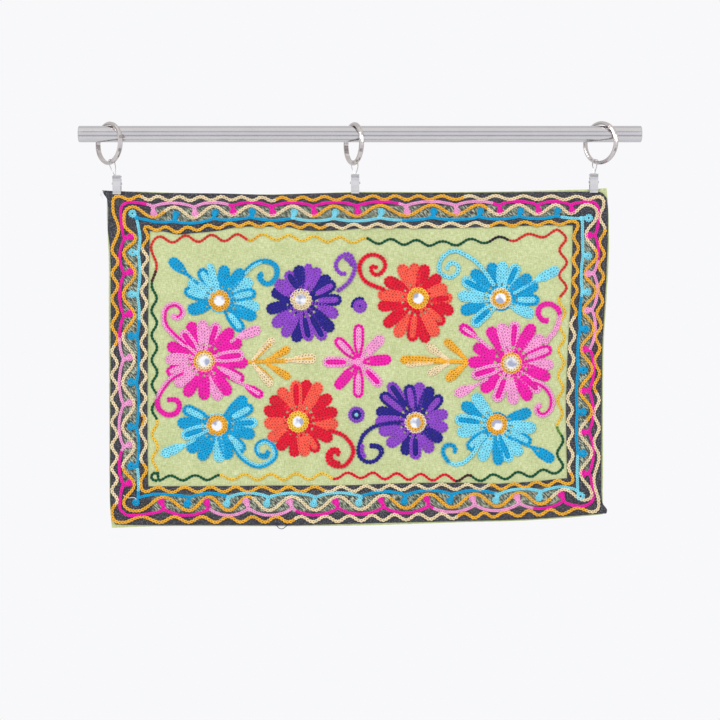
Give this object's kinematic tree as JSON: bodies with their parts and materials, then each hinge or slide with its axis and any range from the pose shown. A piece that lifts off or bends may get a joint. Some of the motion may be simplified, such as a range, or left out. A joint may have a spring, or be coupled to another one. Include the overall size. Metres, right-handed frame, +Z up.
{
  "type": "embroidered tapestry on rod with ring clips",
  "caption": "Green embroidered wall hanging with black borders and round mirrors, held by ring clips on a steel rod.",
  "frame": {"origin": "middle of the rod's axis", "axes": "+X runs along the rod, +Z is up, and -Y faces the viewer"},
  "size_m": [0.686, 0.049, 0.4953],
  "materials": {
    "rod": "brushed along its length",
    "ring": "satin",
    "clip": "bright nickel",
    "ground_cloth": "plain cotton weave",
    "border_cloth": "plain cotton weave with dull speckled filling",
    "mirror": "polished glass",
    "thread": "shaded rayon thread in chain stitch"
  },
  "bodies": {
    "root": {"rod": "rod", "ring_left": "ring", "hook_left": "clip", "clip_front_left": "clip", "clip_back_left": "clip", "pin_left": "clip", "spring_left": "clip", "ring_middle": "ring", "hook_middle": "clip", "clip_front_middle": "clip", "clip_back_middle": "clip", "pin_middle": "clip", "spring_middle": "clip", "ring_right": "ring", "hook_right": "clip", "clip_front_right": "clip", "clip_back_right": "clip", "pin_right": "clip", "spring_right": "clip", "ground_cloth": "ground_cloth", "border_top": "border_cloth", "border_bottom": "border_cloth", "border_left": "border_cloth", "border_right": "border_cloth", "mirror_01": "mirror", "mirror_02": "mirror", "mirror_03": "mirror", "mirror_04": "mirror", "mirror_05": "mirror", "mirror_06": "mirror", "mirror_07": "mirror", "mirror_08": "mirror", "mirror_09": "mirror", "mirror_10": "mirror"}
  },
  "joints": []
}
